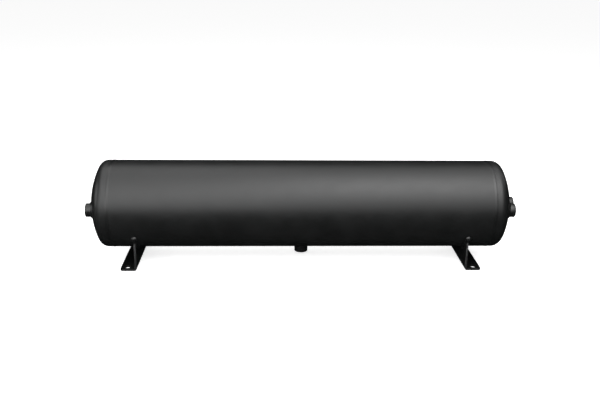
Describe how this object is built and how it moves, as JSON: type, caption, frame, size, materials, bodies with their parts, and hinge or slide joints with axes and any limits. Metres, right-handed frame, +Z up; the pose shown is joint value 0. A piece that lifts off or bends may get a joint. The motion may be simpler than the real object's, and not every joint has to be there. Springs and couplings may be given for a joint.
{
  "type": "air receiver tank",
  "caption": "Horizontal cylindrical steel compressed-air receiver with domed ends, threaded end and drain ports, on folded feet with bolt holes.",
  "frame": {"origin": "centre of the four foot holes, on the surface that the feet stand on", "axes": "+X along the tank towards the end with two ports; -Y the front, where the off-axis end ports lie; +Z up"},
  "size_m": [1.0098, 0.207, 0.2435],
  "materials": {
    "tank_coat": "smooth semi-gloss black stoved coat over pressed and rolled steel",
    "weld_coat": "the same black coat over rippled weld beads",
    "boss_coat": "the same black coat over turned steel, the thread left bare and oiled",
    "foot_coat": "the same black coat over folded steel plate"
  },
  "bodies": {
    "root": {"shell": "tank_coat", "left_head": "tank_coat", "right_head": "tank_coat", "left_port_boss": "boss_coat", "right_front_port_boss": "boss_coat", "right_centre_port_boss": "boss_coat", "drain_port_boss": "boss_coat", "left_foot": "foot_coat", "right_foot": "foot_coat", "longitudinal_seam_weld": "weld_coat", "left_girth_weld": "weld_coat", "right_girth_weld": "weld_coat", "left_port_weld": "weld_coat", "right_front_port_weld": "weld_coat", "right_centre_port_weld": "weld_coat", "drain_port_weld": "weld_coat", "left_foot_inner_weld": "weld_coat", "left_foot_outer_weld": "weld_coat", "right_foot_inner_weld": "weld_coat", "right_foot_outer_weld": "weld_coat"}
  },
  "joints": []
}
